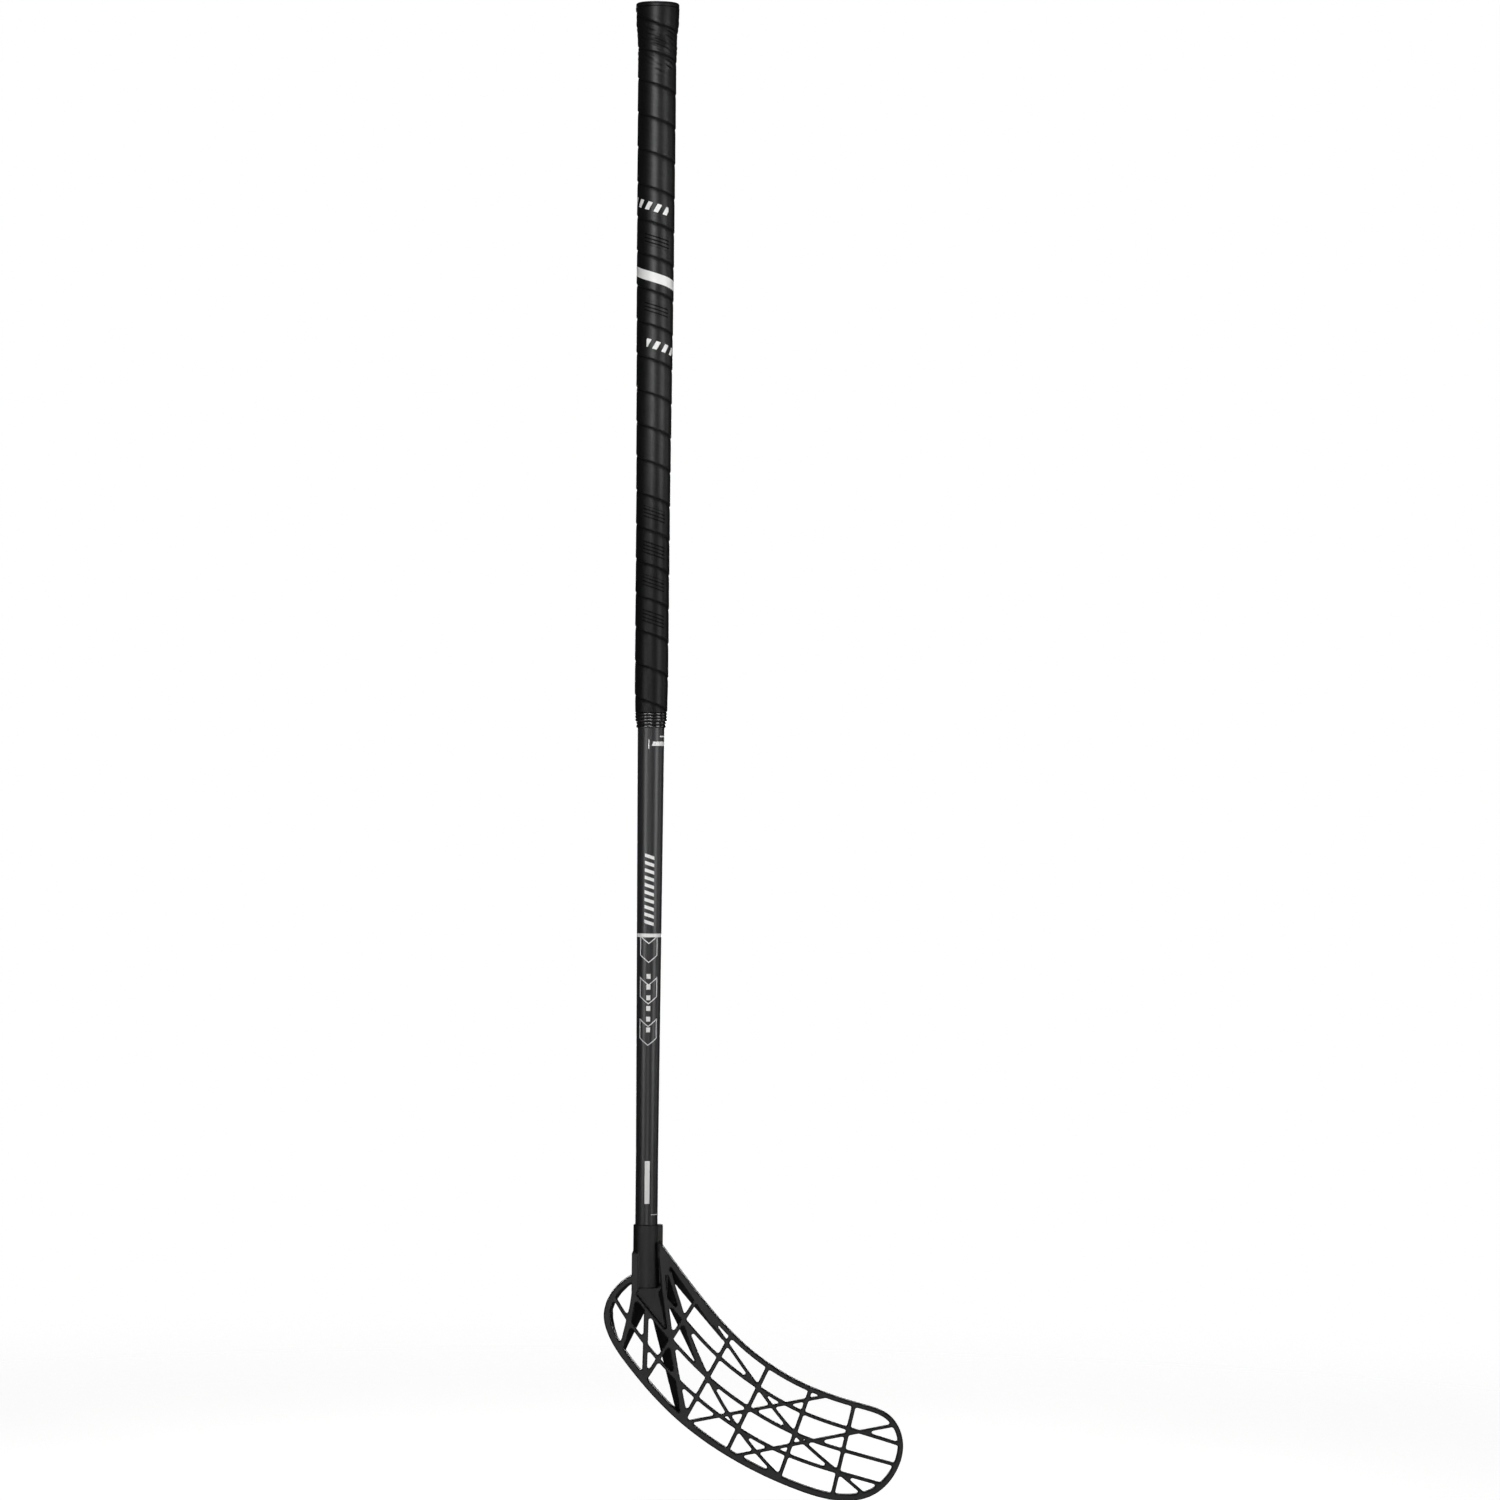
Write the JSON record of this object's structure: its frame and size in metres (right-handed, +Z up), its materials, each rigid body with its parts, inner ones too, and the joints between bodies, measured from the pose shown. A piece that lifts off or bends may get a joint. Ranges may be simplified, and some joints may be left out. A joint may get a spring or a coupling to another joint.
{
  "type": "floorball stick",
  "caption": "Floorball stick with a tapered tubular shaft, a wound grip, a rubber collar and a hooked open-rib blade screwed to the shaft's end.",
  "frame": {"origin": "centre of the flat butt face on top of the end cap", "axes": "+Z up along the shaft, out of the butt; +X towards the blade's toe; -Y the front, hollow side of the blade"},
  "size_m": [0.2245, 0.0373, 1.1186],
  "materials": {
    "shaft_composite": "satin lacquered composite",
    "cap_rubber": "moulded rubber",
    "grip_tape": "soft polyurethane grip tape",
    "collar_rubber": "glossy moulded rubber",
    "sticker_film": "printed film",
    "blade_plastic": "moulded polyethylene",
    "screw_steel": "zinc-plated steel"
  },
  "bodies": {
    "shaft": {"shaft_tube": "shaft_composite", "end_cap": "cap_rubber", "grip_tape": "grip_tape", "shaft_sticker": "sticker_film"},
    "collar": {"grip_collar": "collar_rubber"},
    "blade": {"blade": "blade_plastic"},
    "screw": {"blade_screw": "screw_steel"}
  },
  "joints": [
    {"name": "blade_pull", "type": "slide", "parent": "shaft", "child": "blade", "axis": [0, 0, -1], "range_m": [0, 0.06]},
    {"name": "screw_out", "type": "slide", "parent": "blade", "child": "screw", "axis": [0, 1, 0], "range_m": [0, 0.06]},
    {"name": "collar_slide", "type": "slide", "parent": "shaft", "child": "collar", "axis": [0, 0, -1], "range_m": [0, 0.36]}
  ],
  "couplings": [
    {"joint": "screw_out", "follows": "blade_pull", "ratio": 1}
  ]
}
